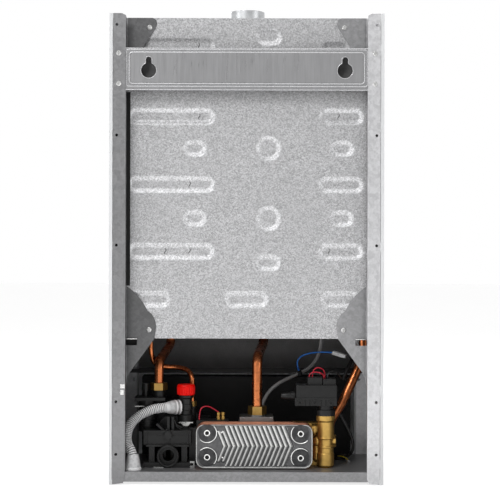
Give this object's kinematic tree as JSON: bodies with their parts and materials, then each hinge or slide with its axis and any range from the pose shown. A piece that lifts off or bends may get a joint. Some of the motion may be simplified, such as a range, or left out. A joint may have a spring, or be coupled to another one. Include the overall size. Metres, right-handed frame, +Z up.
{
  "type": "wall-hung gas boiler",
  "caption": "Wall-hung combination gas boiler with a keyhole hanging bracket, an open lower rear that shows the hydraulics, a sealed chamber with a fan, and a tilting control box.",
  "frame": {"origin": "midway between the round entries of the two keyholes, on the wall plane", "axes": "+Y towards the wall, so the front faces -Y; +Z up; +X to the right seen from the front"},
  "size_m": [0.42, 0.2748, 0.741],
  "materials": {
    "frame_steel": "galvanised sheet, dull",
    "white_enamel": "white powder coat",
    "bracket_steel": "zinc-plated sheet",
    "screw_steel": "zinc-plated",
    "spangled_zinc": "galvanised sheet with fine spangle",
    "flue_aluminium": "bare aluminium",
    "seal_rubber": "soft seal",
    "sight_glass": "clear heat-proof glass",
    "burner_steel": "heat-tinted steel",
    "ceramic_board": "pressed ceramic fibre",
    "copper": "bright copper",
    "black_plastic": "moulded",
    "red_paint": "gloss red paint",
    "tray_steel": "galvanised sheet",
    "composite": "glass-filled polymer",
    "red_plastic": "red moulded cap",
    "hose_plastic": "translucent flexible plastic",
    "pressed_stainless": "pressed plates, copper brazed",
    "brass": "forged brass",
    "cast_aluminium": "die cast",
    "grey_sheath": "PVC sheath",
    "grey_plastic": "moulded",
    "white_plastic": "moulded",
    "board_green": "printed board with parts",
    "display_glass": "dark window"
  },
  "bodies": {
    "chassis": {"side_frame_right": "frame_steel", "side_frame_left": "frame_steel", "side_panel_right": "white_enamel", "side_panel_left": "white_enamel", "hanging_bracket": "bracket_steel", "chassis_screws": "screw_steel", "rear_panel": "spangled_zinc", "top_plate": "spangled_zinc", "flue_collar": "flue_aluminium", "air_inlet_cover": "spangled_zinc", "chamber_floor": "spangled_zinc", "chamber_front_cover": "spangled_zinc", "chamber_seal": "seal_rubber", "sight_glass": "sight_glass", "gas_manifold": "flue_aluminium", "burner": "burner_steel", "combustion_box": "burner_steel", "insulation_boards": "ceramic_board", "electrodes": "ceramic_board", "primary_exchanger": "copper", "flue_hood": "burner_steel", "fan_housing": "flue_aluminium", "fan_motor": "black_plastic", "pressure_switch": "black_plastic", "expansion_vessel": "red_paint", "bottom_tray": "tray_steel", "front_crossbar": "tray_steel", "hydraulic_block": "composite", "pump_motor": "black_plastic", "safety_valve": "composite", "discharge_hose": "hose_plastic", "plate_exchanger": "pressed_stainless", "diverter_body": "brass", "diverter_actuator": "composite", "gas_valve": "cast_aluminium", "gas_pipe": "copper", "flow_pipe": "copper", "return_pipe": "copper", "relief_pipe": "copper", "union_nuts": "brass", "water_connections": "brass", "grey_cable": "grey_sheath", "sensor_leads": "grey_sheath", "retaining_clips": "screw_steel"},
    "front_cover": {"front_cover": "white_enamel"},
    "control_panel": {"control_housing": "grey_plastic", "control_fascia": "white_plastic", "circuit_board": "board_green", "display_window": "display_glass", "pressure_gauge": "black_plastic"},
    "heating_knob": {"heating_knob": "grey_plastic"},
    "water_knob": {"water_knob": "grey_plastic"},
    "mode_button": {"mode_button": "grey_plastic"},
    "reset_button": {"reset_button": "grey_plastic"},
    "gauge_needle": {"gauge_needle": "red_plastic"},
    "fan_impeller": {"fan_impeller": "flue_aluminium"},
    "pump_rotor": {"pump_rotor": "screw_steel"},
    "safety_valve_knob": {"safety_valve_knob": "red_plastic"},
    "diverter_spindle": {"diverter_spindle": "screw_steel"},
    "filling_knob": {"filling_knob": "black_plastic"}
  },
  "joints": [
    {"name": "front_cover_lift_off", "type": "slide", "parent": "chassis", "child": "front_cover", "axis": [0, -1, 0], "range_m": [0, 0.3]},
    {"name": "control_panel_tilt", "type": "hinge", "parent": "chassis", "child": "control_panel", "pos_m": [0, -0.212, -0.6247], "axis": [1, 0, 0], "range_deg": [0, 80]},
    {"name": "heating_knob_turn", "type": "hinge", "parent": "control_panel", "child": "heating_knob", "pos_m": [-0.064, -0.258, -0.5547], "axis": [0, -1, 0], "range_deg": [-270, 0]},
    {"name": "water_knob_turn", "type": "hinge", "parent": "control_panel", "child": "water_knob", "pos_m": [0.064, -0.258, -0.5547], "axis": [0, -1, 0], "range_deg": [-270, 0]},
    {"name": "mode_button_press", "type": "slide", "parent": "control_panel", "child": "mode_button", "axis": [0, 1, 0], "range_m": [0, 0.002], "stiffness_N_per_m": 400},
    {"name": "reset_button_press", "type": "slide", "parent": "control_panel", "child": "reset_button", "axis": [0, 1, 0], "range_m": [0, 0.002], "stiffness_N_per_m": 400},
    {"name": "gauge_needle_swing", "type": "hinge", "parent": "control_panel", "child": "gauge_needle", "pos_m": [-0.132, -0.255, -0.5547], "axis": [0, -1, 0], "range_deg": [-270, 0], "stiffness_Nm_per_rad": 0.0005},
    {"name": "fan_spin", "type": "hinge", "parent": "chassis", "child": "fan_impeller", "pos_m": [-0.044, -0.131, -0.0007], "axis": [0, 1, 0], "continuous": true},
    {"name": "pump_spin", "type": "hinge", "parent": "chassis", "child": "pump_rotor", "pos_m": [0.118, -0.12, -0.5607], "axis": [0, 1, 0], "continuous": true},
    {"name": "safety_valve_turn", "type": "hinge", "parent": "chassis", "child": "safety_valve_knob", "pos_m": [0.0958, -0.085, -0.4967], "axis": [0, 0, 1], "range_deg": [0, 90]},
    {"name": "diverter_stroke", "type": "slide", "parent": "chassis", "child": "diverter_spindle", "axis": [0, 0, -1], "range_m": [0, 0.007]},
    {"name": "filling_knob_turn", "type": "hinge", "parent": "chassis", "child": "filling_knob", "pos_m": [-0.097, -0.1, -0.5787], "axis": [0, -1, 0], "range_deg": [-90, 0]}
  ]
}
